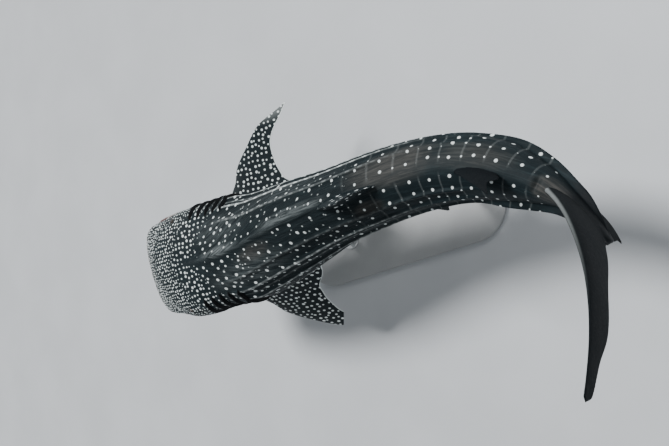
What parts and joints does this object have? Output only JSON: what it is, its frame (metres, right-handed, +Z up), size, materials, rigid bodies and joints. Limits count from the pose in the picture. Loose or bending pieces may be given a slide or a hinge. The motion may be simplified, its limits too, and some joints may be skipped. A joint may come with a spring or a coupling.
{
  "type": "life-size whale shark display model on a stand",
  "caption": "Young whale shark, broad flat head, ridged back and tail swept to its left, posed swimming above a flat base on upright rods.",
  "frame": {"origin": "centre of the stand base's underside, on the floor", "axes": "+X from the snout towards the tail, +Y the animal's right, +Z up"},
  "size_m": [5.3777, 2.4187, 3.1275],
  "materials": {
    "skin": "satin, dark blue-green with white spots and bars",
    "jaw_skin": "satin, pale with fine dark marks at the lip",
    "fin_skin": "satin, dark with white spots and pale rims",
    "eye": "glossy",
    "base_paint": "matt grey",
    "rod_steel": "brushed"
  },
  "bodies": {
    "root": {"head": "skin", "gill_region": "skin", "trunk_front": "skin", "trunk_rear": "skin", "tail_front": "skin", "tail_rear": "skin", "lower_jaw": "jaw_skin", "eye_right": "eye", "eye_left": "eye", "pectoral_fin_right": "fin_skin", "pectoral_fin_left": "fin_skin", "first_dorsal_fin": "fin_skin", "second_dorsal_fin": "fin_skin", "pelvic_fin_right": "fin_skin", "pelvic_fin_left": "fin_skin", "anal_fin": "fin_skin", "tail_lobe_upper": "fin_skin", "tail_lobe_lower": "fin_skin", "stand_base": "base_paint", "stand_rod_front": "rod_steel", "stand_rod_rear": "rod_steel", "stand_flange_front": "rod_steel", "stand_flange_rear": "rod_steel"}
  },
  "joints": []
}
